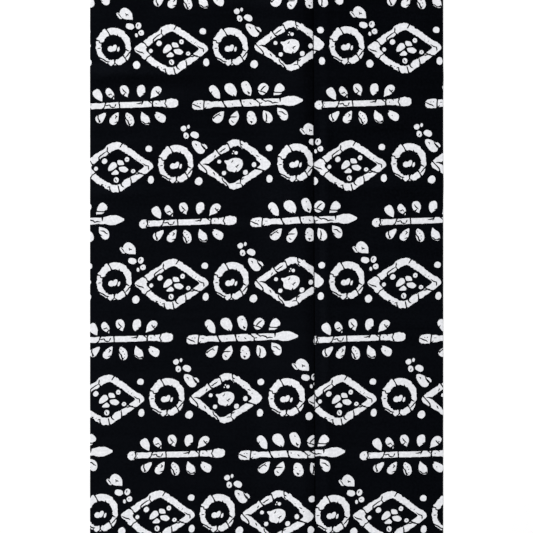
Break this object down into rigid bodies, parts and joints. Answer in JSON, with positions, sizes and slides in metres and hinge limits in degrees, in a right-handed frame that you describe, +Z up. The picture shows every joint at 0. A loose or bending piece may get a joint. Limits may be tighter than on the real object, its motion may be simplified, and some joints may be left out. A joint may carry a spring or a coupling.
{
  "type": "wax print fabric",
  "caption": "Cut of black and white wax print cotton lying flat, face up, with one soft tuck along its length and low creases across it.",
  "frame": {"origin": "middle of the cut's underside, on the surface it lies on", "axes": "+Y along the cut's length, towards the end that is uppermost when the print is read upright; +X across it, towards the side where the lower layer comes out of the tuck; +Z up, out of the printed face"},
  "size_m": [0.457, 1.143, 0.0046],
  "materials": {
    "printed_cotton": "plain weave cotton, lightly calendered, black ground with white resist print"
  },
  "bodies": {
    "root": {"cloth": "printed_cotton"}
  },
  "joints": []
}
